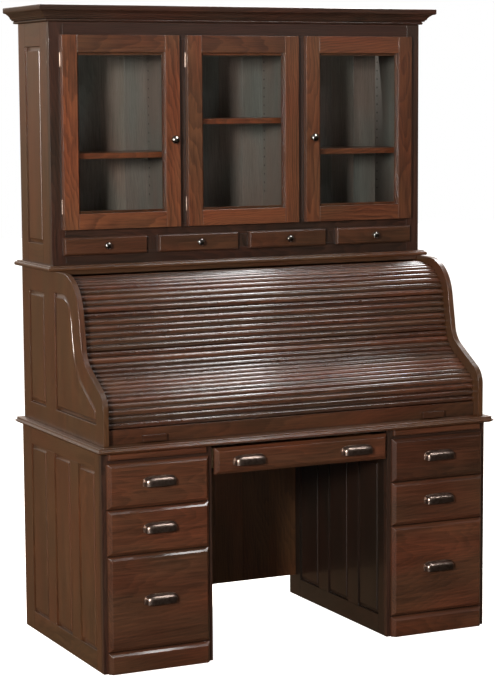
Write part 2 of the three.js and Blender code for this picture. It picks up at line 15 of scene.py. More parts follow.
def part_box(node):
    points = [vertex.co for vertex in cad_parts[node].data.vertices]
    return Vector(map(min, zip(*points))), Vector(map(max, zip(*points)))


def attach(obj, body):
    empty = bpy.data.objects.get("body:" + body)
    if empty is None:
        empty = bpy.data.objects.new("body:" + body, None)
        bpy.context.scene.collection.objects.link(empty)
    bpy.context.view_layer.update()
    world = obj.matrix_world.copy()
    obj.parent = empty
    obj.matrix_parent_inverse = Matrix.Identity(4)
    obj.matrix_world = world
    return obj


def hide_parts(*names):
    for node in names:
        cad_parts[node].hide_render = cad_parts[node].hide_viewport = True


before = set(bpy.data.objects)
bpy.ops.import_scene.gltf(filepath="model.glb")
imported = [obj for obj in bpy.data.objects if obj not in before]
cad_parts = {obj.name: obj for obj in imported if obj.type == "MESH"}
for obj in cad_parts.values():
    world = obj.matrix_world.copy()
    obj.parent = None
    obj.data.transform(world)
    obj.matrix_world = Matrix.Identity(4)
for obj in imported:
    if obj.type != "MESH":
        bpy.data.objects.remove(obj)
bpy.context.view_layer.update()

MM = 0.001
BOARD = 20.0                       # thickness of the solid wood in sides, fronts and frames
GAP = 0.3                          # between pieces that touch or slide past each other
ORIGIN_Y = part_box("left_face_frame")[1].y - BOARD * MM
RANDOM = random.Random(11)


def place(point):
    """A point in millimetres in the desk frame, as metres in the row frame."""
    return Vector(point) * MM + Vector((0, ORIGIN_Y, 0))


def limits(node):
    """The limits of a CAD node along X, Y and Z, in millimetres in the desk frame."""
    low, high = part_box(node)
    shift = Vector((0, ORIGIN_Y, 0))
    return [tuple(pair) for pair in zip((low - shift) / MM, (high - shift) / MM)]


# ---- Camera, lights, floor ----
CAMERA_PLACE = (-3256.1, -6332.4, 1923.7)
CAMERA_AZIMUTH = math.radians(25.746)
CAMERA_PITCH = math.radians(-6.723)
CAMERA_ROLL = math.radians(-0.358)
LENS = 110.67
SENSOR_WIDTH = 36.0
FLOOR_SIZE = 40
FLOOR_BELOW = 0.0005               # metres, so the plinths don't share a plane with the floor


def make_camera():
    data = bpy.data.cameras.new("camera")
    data.lens = LENS
    data.sensor_width = SENSOR_WIDTH
    camera = bpy.data.objects.new("camera", data)
    bpy.context.scene.collection.objects.link(camera)
    ahead = Vector((math.sin(CAMERA_AZIMUTH) * math.cos(CAMERA_PITCH),
                    math.cos(CAMERA_AZIMUTH) * math.cos(CAMERA_PITCH),
                    math.sin(CAMERA_PITCH)))
    right = Vector((math.cos(CAMERA_AZIMUTH), -math.sin(CAMERA_AZIMUTH), 0))
    turn = Matrix.Rotation(-CAMERA_ROLL, 3, ahead)
    right = turn @ right
    up = right.cross(ahead)
    camera.matrix_world = Matrix.Translation(place(CAMERA_PLACE)) @ Matrix(
        (right, up, -ahead)).transposed().to_4x4()
    bpy.context.scene.camera = camera


def softbox(name, spot, target, size, power, colour=(1, 1, 1)):
    """A rectangular lamp at a spot that faces a target, both in metres in the row frame."""
    data = bpy.data.lights.new(name, "AREA")
    data.shape = "RECTANGLE"
    data.size, data.size_y = size
    data.energy = power
    data.color = colour
    light = bpy.data.objects.new(name, data)
    light.location = spot
    light.rotation_euler = (Vector(target) - Vector(spot)).to_track_quat("-Z", "Y").to_euler()
    bpy.context.scene.collection.objects.link(light)


def backdrop():
    """Surroundings as the lacquer mirrors them: pale behind and above the desk, dim before it and
    warm below. The camera itself sees plain white."""
    world = bpy.data.worlds.new("studio")
    bpy.context.scene.world = world
    n = Nodes(world)
    n.tree.nodes.clear()
    direction = n.add("ShaderNodeTexCoord").outputs["Generated"]
    axes = n.add("ShaderNodeSeparateXYZ", {0: direction}).outputs
    height = n.add("ShaderNodeMapRange", {0: axes["Z"], 1: -0.4, 2: 0.6, 3: 0.0, 4: 1.0}).outputs[0]
    depth = n.add("ShaderNodeMapRange", {0: axes["Y"], 1: -1.0, 2: 1.0, 3: 0.0, 4: 1.0}).outputs[0]
    tone = n.ramp(height, (0.0, (0.10, 0.06, 0.035)), (0.34, (0.24, 0.145, 0.08)),
                  (0.5, (0.80, 0.64, 0.52)), (1.0, (1.0, 0.97, 0.94)))
    share = n.ramp(depth, (0.35, (0.08, 0.075, 0.07)), (0.8, WHITE))
    product = n.add("ShaderNodeVectorMath", {0: tone, 1: share}, operation="MULTIPLY").outputs[0]
    mirrored = n.add("ShaderNodeBackground", {"Color": product}).outputs[0]
    white = n.add("ShaderNodeBackground", {"Color": (*WHITE, 1)}).outputs[0]
    seen = n.add("ShaderNodeLightPath").outputs["Is Camera Ray"]
    mix = n.add("ShaderNodeMixShader", {0: seen, 1: mirrored, 2: white}).outputs[0]
    n.add("ShaderNodeOutputWorld", {"Surface": mix})


def studio():
    """A pale floor, a key lamp at the left front, thin ones that draw edges and a broad one behind."""
    softbox("key", (-5.0, -5.4, 2.6), (0, 0, 1.4), (0.7, 1.1), 680, (1, 0.94, 0.88))
    softbox("edge", (2.4, -4.3, 3.8), (0, -0.3, 0.8), (1.4, 0.3), 45)
    softbox("strip", (-2.5, -5.4, 1.1), (0, 0, 1.0), (0.1, 2.2), 34)
    softbox("slats", (1.3, -0.35, 4.0), (0.2, -0.2, 1.0), (3.4, 0.16), 70)
    softbox("overhead", (0.5, 2.0, 4.4), (0.3, 0, 1), (5.0, 2.0), 500)
    backdrop()
    bpy.ops.mesh.primitive_plane_add(size=FLOOR_SIZE, location=(0, 0, -FLOOR_BELOW))
    floor = bpy.context.object
    floor.name = "floor"
    floor.visible_glossy = False
    paint = plain_material("floor_paint", (0.5, 0.46, 0.42), 0.8)
    n = Nodes(paint)
    n.shader.inputs["Emission Color"].default_value = (*WHITE, 1)
    n.into("Emission Strength", n.add("ShaderNodeLightPath").outputs["Is Camera Ray"])
    floor.data.materials.append(paint)
    bpy.context.scene.view_settings.view_transform = "Standard"


# ---- Materials ----
WHITE = (1, 1, 1)
BLACK = (0, 0, 0)


def plain_material(name, colour, roughness):
    material = bpy.data.materials.new(name)
    material.use_nodes = True
    shader = material.node_tree.nodes["Principled BSDF"]
    shader.inputs["Base Color"].default_value = (*colour, 1)
    shader.inputs["Roughness"].default_value = roughness
    return material


class Nodes:
    """Short ways to add nodes to a material or to the world."""

    def __init__(self, owner):
        owner.use_nodes = True
        self.tree = owner.node_tree
        self.shader = self.tree.nodes.get("Principled BSDF")

    def add(self, kind, inputs=None, **settings):
        made = self.tree.nodes.new(kind)
        for key, value in settings.items():
            setattr(made, key, value)
        for key, value in (inputs or {}).items():
            if isinstance(value, bpy.types.NodeSocket):
                self.tree.links.new(value, made.inputs[key])
            else:
                made.inputs[key].default_value = value
        return made

    def ramp(self, factor, *stops):
        made = self.add("ShaderNodeValToRGB", {"Fac": factor})
        elements = made.color_ramp.elements
        while len(elements) < len(stops):
            elements.new(0.5)
        for element, (position, colour) in zip(elements, stops):
            element.position = position
            element.color = (*colour, 1)
        return made.outputs["Color"]

    def maths(self, operation, a, b):
        return self.add("ShaderNodeMath", {0: a, 1: b}, operation=operation).outputs[0]

    def blend(self, factor, a, b, mode="MIX"):
        made = self.add("ShaderNodeMix", {"Factor": factor}, data_type="RGBA", blend_type=mode)
        for key, value in ((6, a), (7, b)):
            if isinstance(value, bpy.types.NodeSocket):
                self.tree.links.new(value, made.inputs[key])
            else:
                made.inputs[key].default_value = (*value, 1)
        return made.outputs[2]

    def into(self, name, socket):
        self.tree.links.new(socket, self.shader.inputs[name])


def wood(name, dark, mid, light, roughness=0.33, coat=0.3, pores=0.5, figure=0.5):
    """Stained wood under lacquer. Each board brings its own grain direction, place in the log
    and tint as mesh attributes: the first grain coordinate runs along the board."""
    material = bpy.data.materials.new(name)
    n = Nodes(material)
    grain = n.add("ShaderNodeAttribute", attribute_name="grain").outputs["Vector"]
    tint = n.add("ShaderNodeAttribute", attribute_name="tint").outputs["Fac"]

    def noise(scale, detail):
        stretched = n.add("ShaderNodeMapping", {"Vector": grain, "Scale": scale}).outputs[0]
        return n.add("ShaderNodeTexNoise", {"Vector": stretched, "Scale": 1.0, "Detail": detail}).outputs

    warp = n.add("ShaderNodeVectorMath", {0: noise((2.4, 9, 9), 3.0)["Color"]}, operation="SCALE")
    warp.inputs["Scale"].default_value = 0.07
    tilted = n.add("ShaderNodeMapping", {
        "Vector": grain, "Rotation": (0, 0.06, 0.08), "Location": (0, 0.03, 0.05)}).outputs[0]
    log = n.add("ShaderNodeVectorMath", {0: tilted, 1: warp.outputs[0]}, operation="ADD").outputs[0]
    rings = n.add("ShaderNodeTexWave", {
        "Vector": log, "Scale": 38.0, "Distortion": 1.0, "Detail": 3.0, "Detail Scale": 2.0,
    }, wave_type="RINGS", rings_direction="X", wave_profile="SAW").outputs["Fac"]
    fibre = noise((5, 240, 240), 4.0)["Fac"]
    pore = noise((24, 950, 950), 2.0)["Fac"]
    cloud = noise((3.5, 16, 16), 3.0)["Fac"]

    plain = n.ramp(cloud, (0.3, dark), (0.55, mid), (0.78, light))
    figured = n.blend(figure, plain, n.ramp(rings, (0.0, light), (0.55, mid), (0.9, dark), (1.0, mid)))
    streaked = n.blend(0.35, figured, n.ramp(fibre, (0.36, dark), (0.52, mid), (0.7, light)))
    pitted = n.blend(pores, streaked, n.ramp(pore, (0.58, WHITE), (0.68, (0.3, 0.26, 0.24))), "MULTIPLY")
    stain = n.ramp(noise((2.2, 7, 7), 2.0)["Color"], (0.4, (1.1, 0.92, 0.84)), (0.6, (0.92, 1.03, 1.0)))
    shade = n.ramp(tint, (0.0, (0.68, 0.68, 0.7)), (0.5, (0.98, 0.96, 0.95)), (1.0, (1.4, 1.2, 1.1)))
    n.into("Base Color", n.blend(1.0, n.blend(1.0, pitted, stain, "MULTIPLY"), shade, "MULTIPLY"))
    n.into("Roughness", n.maths("ADD", n.maths("MULTIPLY", fibre, 0.16), roughness - 0.08))

    pits = n.ramp(pore, (0.58, BLACK), (0.7, WHITE))
    relief = n.maths("SUBTRACT", n.maths("MULTIPLY", fibre, 0.5), pits)
    bump = n.add("ShaderNodeBump", {"Height": relief, "Strength": 0.1, "Distance": 0.0004})
    n.into("Normal", bump.outputs[0])
    n.shader.inputs["Specular IOR Level"].default_value = 0.35
    n.shader.inputs["Coat Weight"].default_value = coat
    n.shader.inputs["Coat Roughness"].default_value = 0.1
    return material


def metal(name, dark, bright, roughness):
    """Antiqued metal: dark in patches, polished where it is handled."""
    material = bpy.data.materials.new(name)
    n = Nodes(material)
    spot = n.add("ShaderNodeTexCoord").outputs["Object"]
    patch = n.add("ShaderNodeTexNoise", {"Vector": spot, "Scale": 90.0, "Detail": 4.0}).outputs["Fac"]
    scratch = n.add("ShaderNodeTexNoise", {"Vector": spot, "Scale": 900.0, "Detail": 3.0}).outputs["Fac"]
    n.into("Base Color", n.ramp(patch, (0.35, dark), (0.68, bright)))
    n.into("Roughness", n.maths("ADD", n.maths("MULTIPLY", scratch, 0.14), roughness - 0.07))
    bump = n.add("ShaderNodeBump", {"Height": scratch, "Strength": 0.05, "Distance": 0.0002})
    n.into("Normal", bump.outputs[0])
    n.shader.inputs["Metallic"].default_value = 1.0
    return material


def pane_glass():
    """Clear glass that lets the lamps into the hutch: see-through with a mirror's share on top."""
    material = bpy.data.materials.new("clear_glass")
    n = Nodes(material)
    n.tree.nodes.remove(n.shader)
    head_on = 0.04
    clear = n.add("ShaderNodeBsdfTransparent", {"Color": (0.93, 0.95, 0.95, 1)})
    mirror = n.add("ShaderNodeBsdfGlossy", {"Color": (*WHITE, 1), "Roughness": 0.02})
    slant = n.add("ShaderNodeLayerWeight", {"Blend": 0.5}).outputs["Facing"]
    share = n.maths("ADD", n.maths("MULTIPLY", n.maths("POWER", slant, 5.0), 1 - head_on), head_on)
    mix = n.add("ShaderNodeMixShader", {0: share, 1: clear.outputs[0], 2: mirror.outputs[0]})
    n.tree.links.new(mix.outputs[0], n.tree.nodes["Material Output"].inputs["Surface"])
    return material


def canvas():
    """Dark woven canvas."""
    material = bpy.data.materials.new("backing_canvas")
    n = Nodes(material)
    spot = n.add("ShaderNodeTexCoord").outputs["Object"]
    threads = [
        n.add("ShaderNodeTexWave", {"Vector": spot, "Scale": 260.0, "Distortion": 0.6},
              bands_direction=direction).outputs["Fac"] for direction in ("X", "DIAGONAL")]
    weave = n.maths("MULTIPLY", *threads)
    n.into("Base Color", n.ramp(weave, (0.1, (0.018, 0.015, 0.013)), (0.9, (0.07, 0.06, 0.05))))
    bump = n.add("ShaderNodeBump", {"Height": weave, "Strength": 0.5, "Distance": 0.0004})
    n.into("Normal", bump.outputs[0])
    n.shader.inputs["Roughness"].default_value = 0.9
    return material


def make_materials():
    return {
        "carcass": wood("carcass_stain", (0.026, 0.011, 0.005), (0.056, 0.024, 0.0105),
                        (0.088, 0.037, 0.016)),
        "frame": wood("frame_stain", (0.012, 0.007, 0.005), (0.027, 0.0135, 0.0095),
                      (0.05, 0.021, 0.013), figure=0.6),
        "front": wood("front_stain", (0.020, 0.009, 0.005), (0.046, 0.0185, 0.0095),
                      (0.085, 0.030, 0.014), figure=0.35),
        "door": wood("door_stain", (0.032, 0.012, 0.0065), (0.078, 0.029, 0.014),
                     (0.13, 0.048, 0.021), pores=0.65, figure=0.65),
        "slat": wood("slat_stain", (0.020, 0.009, 0.005), (0.048, 0.022, 0.013),
                     (0.09, 0.038, 0.021), roughness=0.26, coat=0.7, figure=0.4),
        # The hutch's inside: a pale grey-brown, paler than its own wood, as painted light for the lit
        # bays seen through the panes.
        "inside": wood("inside_stain_painted_light", (0.10, 0.088, 0.08), (0.15, 0.135, 0.125),
                       (0.19, 0.17, 0.16), roughness=0.45, coat=0.2, figure=0.4),
        "drawer_box": wood("maple", (0.42, 0.28, 0.16), (0.55, 0.39, 0.24),
                           (0.66, 0.50, 0.33), roughness=0.42, coat=0.2, pores=0.15, figure=0.4),
        # The kneehole's inner sides: a stain darkened far below the carcass wood, as painted shade for
        # the dim space under the desk.
        "knee": wood("kneehole_stain_painted_shade", (0.006, 0.004, 0.003), (0.012, 0.0075, 0.0055),
                     (0.022, 0.011, 0.008)),
        "bronze": metal("dark_bronze", (0.21, 0.155, 0.128), (0.36, 0.285, 0.245), 0.3),
        "knob": metal("pewter", (0.24, 0.22, 0.20), (0.42, 0.39, 0.36), 0.17),
        "hole": plain_material("hole_shadow", (0.006, 0.005, 0.005), 0.9),
        "canvas": canvas(),
        "glass": pane_glass(),
    }


# ---- Pieces ----
AXES = {"X": (0, 1, 2), "Y": (1, 2, 0), "Z": (2, 0, 1)}
SHARP_DEGREES = 32                 # edges that turn more than this are rounded


def rectangle(a, b, inset=0.0):
    """The corners of a rectangle with limits a and b, drawn in by an inset."""
    return [(a[0] + inset, b[0] + inset), (a[1] - inset, b[0] + inset),
            (a[1] - inset, b[1] - inset), (a[0] + inset, b[1] - inset)]


def across(axis, outline, at):
    """Points of a flat outline at one place along an axis. X takes (y, z), Y (x, z), Z (x, y)."""
    order = {"X": lambda p: (at, *p), "Y": lambda p: (p[0], at, p[1]), "Z": lambda p: (*p, at)}
    return [order[axis](p) for p in outline]


class Piece:
    """The boards of one visible piece. Each board has its own grain and tint."""

    def __init__(self, name):
        self.name = name
        self.mesh = bmesh.new()
        self.grain = self.mesh.verts.layers.float_vector.new("grain")
        self.tint = self.mesh.verts.layers.float.new("tint")

    def mark(self, verts, along, tint=None):
        """Cuts a board out of its own place in a log, with the grain along an axis."""
        log = Vector([RANDOM.uniform(-3, 3), RANDOM.uniform(-0.04, 0.04), RANDOM.uniform(-0.04, 0.04)])
        centre = sum((v.co for v in verts), Vector()) / len(verts)
        shade = RANDOM.random() if tint is None else tint
        for v in verts:
            local = v.co - centre
            v[self.grain] = Vector([local[k] for k in AXES[along]]) + log
            v[self.tint] = shade

    def solid(self, rings, along, tint=None):
        """A closed solid through rings of points, capped at both ends."""
        rows = [[self.mesh.verts.new(place(p)) for p in ring] for ring in rings]
        for low, high in zip(rows, rows[1:]):
            for k in range(len(low)):
                nxt = (k + 1) % len(low)
                self.mesh.faces.new((low[k], low[nxt], high[nxt], high[k]))
        self.mesh.faces.new(rows[0][::-1])
        self.mesh.faces.new(rows[-1])
        self.mark([v for row in rows for v in row], along, tint)
        return self

    def prism(self, axis, outline, ends, along, tint=None):
        """A flat outline drawn out along an axis, between two ends."""
        return self.solid([across(axis, outline, at) for at in ends], along, tint)

    def board(self, x, y, z, along, tint=None):
        return self.prism("Z", rectangle(x, y), z, along, tint)

    def plate(self, axis, outline, holes, ends, along, tint=None):
        """A flat board of constant thickness with holes right through it."""
        loops = [[self.mesh.verts.new(place(p)) for p in across(axis, loop, ends[0])]
                 for loop in (outline, *holes)]
        edges = [self.mesh.edges.new(pair) for loop in loops for pair in zip(loop, loop[1:] + loop[:1])]
        faces = bmesh.ops.triangle_fill(self.mesh, edges=edges, use_beauty=True)["geom"]
        faces = [f for f in faces if isinstance(f, bmesh.types.BMFace)]
        grown = bmesh.ops.extrude_face_region(self.mesh, geom=faces)["geom"]
        far = [v for v in grown if isinstance(v, bmesh.types.BMVert)]
        near_corner, far_corner = (place(across(axis, outline[:1], end)[0]) for end in ends)
        bmesh.ops.translate(self.mesh, verts=far, vec=far_corner - near_corner)
        self.mark([v for loop in loops for v in loop] + far, along, tint)
        return self

    def lathe(self, centre, profile, steps=32):
        """A turned solid on an axis that points at -Y. The profile is (radius, height) pairs."""
        x, y, z = centre
        turns = [2 * math.pi * k / steps for k in range(steps)]
        rings = [[(x + r * math.cos(t), y - h, z + r * math.sin(t)) for t in turns] for r, h in profile]
        return self.solid(rings, "Y")

    def rod(self, centre, radius, z, steps=16):
        """An upright rod whose axis is at centre = (x, y)."""
        turns = [2 * math.pi * k / steps for k in range(steps)]
        ring = [(centre[0] + radius * math.cos(t), centre[1] + radius * math.sin(t)) for t in turns]
        return self.prism("Z", ring, z, "Z")

    def make(self, material, body, slot, nodes=(), bevel=0.8, segments=2):
        """Turns the boards into an object that rides on a CAD body and stands for CAD nodes."""
        bmesh.ops.recalc_face_normals(self.mesh, faces=self.mesh.faces)
        data = bpy.data.meshes.new(self.name)
        self.mesh.to_mesh(data)
        self.mesh.free()
        data.materials.append(MATERIALS[material])
        data.shade_smooth()
        made = bpy.data.objects.new(self.name, data)
        bpy.context.scene.collection.objects.link(made)
        if bevel:
            rounding = made.modifiers.new("rounding", "BEVEL")
            rounding.width = bevel * MM
            rounding.segments = segments
            rounding.limit_method = "ANGLE"
            rounding.angle_limit = math.radians(SHARP_DEGREES)
            rounding.harden_normals = True
        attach(made, body)
        if nodes:
            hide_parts(*nodes)
        return made


# ---- Curves ----
def fillet(start, corners, end, steps=14):
    """Points of a line with rounded corners, each given as (a, b, radius)."""
    stops = [Vector(start), *(Vector(c[:2]) for c in corners), Vector(end)]
    points = [stops[0]]
    for k, (_, _, radius) in enumerate(corners, 1):
        before = (stops[k - 1] - stops[k]).normalized()
        after = (stops[k + 1] - stops[k]).normalized()
        half = before.angle(after) / 2
        centre = stops[k] + (before + after).normalized() * radius / math.sin(half)
        first = stops[k] + before * radius / math.tan(half) - centre
        last = stops[k] + after * radius / math.tan(half) - centre
        begin = math.atan2(first.y, first.x)
        turn = (math.atan2(last.y, last.x) - begin + math.pi) % (2 * math.pi) - math.pi
        angles = [begin + turn * step / steps for step in range(steps + 1)]
        points += [centre + Vector((math.cos(angle), math.sin(angle))) * radius for angle in angles]
    return points + [stops[-1]]


def set_back(start, corners, end, distance):
    """The corners moved inwards by the same distance from both of their edges."""
    stops = [Vector(start), *(Vector(c[:2]) for c in corners), Vector(end)]

    def inward(a, b):
        along = (b - a).normalized()
        return Vector((along.y, -along.x))

    moved = []
    for k, (a, b, radius) in enumerate(corners):
        before = inward(stops[k], stops[k + 1])
        after = inward(stops[k + 1], stops[k + 2])
        shift = (before + after) * distance / (1 + before.dot(after))
        bend = math.copysign(1, after.x * before.y - after.y * before.x)
        moved.append((a + shift.x, b + shift.y, radius - distance * bend))
    return moved


class Line:
    """A line through points, read by the distance along it."""

    def __init__(self, points):
        self.points = points
        self.at = [0.0]
        for a, b in zip(points, points[1:]):
            self.at.append(self.at[-1] + (b - a).length)

    def point(self, distance):
        k = max(k for k in range(len(self.points) - 1) if self.at[k] <= distance)
        share = (distance - self.at[k]) / (self.at[k + 1] - self.at[k])
        return self.points[k].lerp(self.points[k + 1], share)

    def along(self, distance):
        return (self.point(distance + 1) - self.point(distance - 1)).normalized()


# ---- Sizes of the base ----
BASE_HALF = 741
KNEE_HALF = 340
BACK = 760
BASE_TOP = 745.7
PEDESTAL_MID = (BASE_HALF + KNEE_HALF) / 2
FRONT_HALF = 185
FRONT_THICK = 20
OPENING_HALF = 170
BEVEL = 12
OVERLAY = 10
FRONTS = {"top": (559, 712), "middle": (402, 555), "bottom": (76, 398)}
RAILS = [(0, 86), (388, 412), (545, 569), (702, 724)]
PLINTH_TOP = 71
KNEE_DRAWER = {"half": 333, "z": (645, 735), "box_half": 318, "box_z": (658, 724), "depth": 450}
PULL_HEIGHTS = {"top": 646, "middle": 489, "bottom": 245}
BOX = {"half": 157, "depth": 550, "wall": 12, "floor": 8, "below": 6, "above": 10, "tallest": 254}
RUNNER = {"front": 30, "thick": 12, "clearance": 0.5, "under_box": 8}
SIDES = {"left": -1, "right": 1}
PANEL_YS = [(60, 212), (288, 442), (518, 672)]
PANEL_Z = (68, 684)
KNEE_PANEL_Z = (68, 628)
PANEL_STEPS = [(0, BOARD), (0, 9), (2.5, 9), (14.5, 4), (15, 3.4), (16, 1.2)]
KNEE_PULL = {"x": 208, "z": 690}
WRITING = {"half": 178, "z": (723, 744.5), "nose": 14, "bevel": 4,
           "board_half": 167, "board_z": (725, 743.5), "depth": 500, "border": (27, 22)}


def between(a, b, sign=1):
    """Limits in rising order of two places, mirrored where sign is -1."""
    return tuple(sorted((a * sign, b * sign)))


# ---- Base ----
def raised_panel(piece, face, outward, outline, along="Z"):
    """A raised panel in a side whose face is at x = face. Steps are (inset, depth under the face)."""
    rings = [across("X", outline(inset), face - outward * depth) for inset, depth in PANEL_STEPS]
    piece.solid(rings, along, RANDOM.uniform(0.45, 0.65))


def panelled_side(piece, face, outward, y, z, panel_ys, panel_z):
    """Stiles, rails, muntins and raised panels of a side, with its face at x = face."""
    x = between(face, face - outward * BOARD)
    first, last = panel_ys[0][0], panel_ys[-1][1]
    piece.board(x, (y[0], first), z, "Z", 0.5)
    piece.board(x, (last, y[1]), z, "Z", 0.45)
    piece.board(x, (first, last), (z[0], panel_z[0]), "Y", 0.45)
    piece.board(x, (first, last), (panel_z[1], z[1]), "Y", 0.5)
    for a, b in zip(panel_ys, panel_ys[1:]):
        piece.board(x, (a[1], b[0]), panel_z, "Z", 0.55)
    for panel_y in panel_ys:
        raised_panel(piece, face, outward, lambda inset, a=panel_y: rectangle(a, panel_z, inset))


def box_heights(z):
    """Bottom and top of the drawer box behind a front with these limits."""
    bottom = z[0] + OVERLAY + BOX["below"]
    return bottom, min(z[1] - OVERLAY - BOX["above"], bottom + BOX["tallest"])


def runner(piece, side, end, back, box_bottom):
    """A strip along Y on a side, which reaches a little way under a drawer box."""
    top = box_bottom - RUNNER["clearance"]
    x = (min(side, end), max(side, end))
    piece.board(x, (RUNNER["front"], back), (top - RUNNER["thick"], top), "Y")


def pedestal_sides():
    let_in = 1
    reach = BOX["half"] - RUNNER["under_box"]
    for side, sign in SIDES.items():
        y, z = (BOARD + GAP, BACK), (0, BASE_TOP)
        outer = Piece(f"{side}_outer_panelling")
        panelled_side(outer, sign * BASE_HALF, sign, y, z, PANEL_YS, PANEL_Z)
        inner = Piece(f"{side}_inner_panelling")
        panelled_side(inner, sign * KNEE_HALF, -sign, y, z, PANEL_YS, KNEE_PANEL_Z)
        for heights in FRONTS.values():
            bottom = box_heights(heights)[0]
            runner(outer, sign * (BASE_HALF - BOARD + let_in), sign * (PEDESTAL_MID + reach),
                   BOX["depth"], bottom)
            runner(inner, sign * (KNEE_HALF + BOARD - let_in), sign * (PEDESTAL_MID - reach),
                   BOX["depth"], bottom)
        knee_reach = KNEE_DRAWER["box_half"] - RUNNER["under_box"]
        runner(inner, sign * (KNEE_HALF + let_in), sign * knee_reach,
               KNEE_DRAWER["depth"], KNEE_DRAWER["box_z"][0])
        outer.make("carcass", "desk", "carcass_wood", [f"{side}_outer_side"])
        # The inner panelling faces the kneehole and takes its darkened wood: painted shade.
        inner.make("knee", "desk", "carcass_wood", [f"{side}_inner_side"])


def face_frames():
    frame_y = (0, BOARD)
    for side, sign in SIDES.items():
        mid = sign * PEDESTAL_MID
        piece = Piece(f"{side}_pedestal_frame")
        for x in (between(BASE_HALF, PEDESTAL_MID + OPENING_HALF, sign),
                  between(KNEE_HALF, PEDESTAL_MID - OPENING_HALF, sign)):
            piece.board(x, frame_y, (0, BASE_TOP), "Z", 0.35)
        rail_x = (mid - OPENING_HALF, mid + OPENING_HALF)
        for z in RAILS:
            piece.board(rail_x, frame_y, z, "X", 0.3)
        piece.make("frame", "desk", "carcass_wood", [f"{side}_face_frame"])
        plinth(side, mid)


def plinth(side, mid):
    """The board at a pedestal's foot, bevelled like the drawer fronts but not along the floor."""
    piece = Piece(f"{side}_plinth")
    left, right = mid - FRONT_HALF, mid + FRONT_HALF
    rings = []
    for inset, out in ((0, 0), (0, FRONT_THICK - BEVEL), (BEVEL, FRONT_THICK)):
        top = PLINTH_TOP - inset
        corners = [(left + inset, 0), (right - inset, 0), (right - inset, top), (left + inset, top)]
        rings.append(across("Y", corners, -out))
    piece.solid(rings, "X", 0.6)
    piece.make("front", "desk", "carcass_wood")


def planks(name, x, y, z, count):
    """Upright boards side by side between the given limits."""
    piece = Piece(name)
    step = (x[1] - x[0]) / count
    for k in range(count):
        piece.board((x[0] + k * step, x[0] + (k + 1) * step), y, z, "Z", RANDOM.uniform(0.2, 0.7))
    return piece


def plank_back(name, node, count, groove=1.6):
    """A back made of upright planks whose edges are eased into grooves."""
    planks(name, *limits(node), count).make("carcass", "desk", "carcass_wood", [node], bevel=groove)


def inner_board(node, along, material, bevel=0.8, tint=0.4):
    """One plain board of the hutch's inside, with the limits of its CAD node."""
    piece = Piece(f"{node}_board").board(*limits(node), along, tint)
    piece.make(material, "desk", "interior_wood", [node], bevel=bevel)


# ---- Drawers and pulls ----
def bevelled_front(piece, x, z, back, thick, bevel, tint=None):
    """A board on the plane y = back whose front edges are bevelled all round."""
    rows = [(0, 0), (0, thick - bevel), (bevel, thick)]
    piece.solid([across("Y", rectangle(x, z, inset), back - out) for inset, out in rows], "X", tint)


def drawer_box(name, body, x, y, z, wall, bottom):
    """Sides, front, back and bottom of an open drawer box."""
    piece = Piece(name)
    for edge in ((x[0], x[0] + wall), (x[1] - wall, x[1])):
        piece.board(edge, y, z, "Y")
    inner = (x[0] + wall, x[1] - wall)
    piece.board(inner, (y[0] + 1, y[0] + wall), z, "X")
    piece.board(inner, (y[1] - wall, y[1] - 1), z, "X")
    piece.board(inner, (y[0] + wall, y[1] - wall), (z[0] + 2, z[0] + bottom), "X")
    piece.make("drawer_box", body, "interior_wood")


def power(value, exponent):
    """A power that keeps the sign, for squared-off rounds."""
    return math.copysign(abs(value) ** exponent, value)


PULL = {"half": 57, "reach": 25, "height": 29, "below": 16, "wall": 2.2, "exponent": 0.42,
        "flange": 3.6, "flange_thick": 1.6}


def cup_pull(name, body, x, z, node):
    """A cup pull: a hollow quarter of a squared ball, open below, on a thin flange."""
    half, reach, height = PULL["half"], PULL["reach"], PULL["height"]
    wall, exponent = PULL["wall"], PULL["exponent"]
    face = -FRONT_THICK - GAP
    base = z - PULL["below"]
    piece = Piece(name)
    wide, tall = 40, 14

    def skin(shrink):
        rows = []
        for j in range(tall + 1):
            lift = math.pi / 2 * j / tall
            row = []
            for i in range(wide + 1):
                swing = -math.pi / 2 + math.pi * i / wide
                ring = power(math.cos(swing), exponent)
                row.append((x + (half - shrink) * power(math.sin(swing), exponent),
                            face - (reach - shrink) * ring * power(math.cos(lift), exponent),
                            base + (height - shrink) * ring * power(math.sin(lift), exponent)))
            rows.append([piece.mesh.verts.new(place(p)) for p in row])
        return rows

    outer, inner = skin(0), skin(wall)
    for rows in (outer, inner):
        for low, high in zip(rows, rows[1:]):
            for k in range(wide):
                piece.mesh.faces.new((low[k], low[k + 1], high[k + 1], high[k]))
    for a, b in ((outer[0], inner[0]), (outer[-1], inner[-1])):
        for k in range(wide):
            piece.mesh.faces.new((a[k], a[k + 1], b[k + 1], b[k]))
    bmesh.ops.remove_doubles(piece.mesh, verts=piece.mesh.verts, dist=0.02 * MM)

    def outline(extra):
        turns = [math.pi * k / wide for k in range(wide + 1)]
        return [(x + (half + extra) * power(math.cos(t), exponent),
                 base + (height + extra) * power(math.sin(t), exponent)) for t in turns]

    flange = outline(PULL["flange"]) + outline(-wall)[::-1]
    piece.prism("Y", flange, (face, face - PULL["flange_thick"]), "X")
    piece.make("bronze", body, "pull_metal", [node], bevel=0.5)


def pedestal_drawers():
    for side, sign in SIDES.items():
        mid = sign * PEDESTAL_MID
        for level, z in FRONTS.items():
            body = f"{side}_{level}_drawer"
            front = Piece(f"{body}_front")
            x = (mid - FRONT_HALF, mid + FRONT_HALF)
            bevelled_front(front, x, z, -GAP, FRONT_THICK - GAP, BEVEL)
            front.make("front", body, "front_wood", [body], bevel=1.2)
            drawer_box(f"{body}_box", body, (mid - BOX["half"], mid + BOX["half"]), (-GAP, BOX["depth"]),
                       box_heights(z), BOX["wall"], BOX["floor"])
            cup_pull(f"{body}_cup", body, mid, PULL_HEIGHTS[level], f"{side}_{level}_pull")


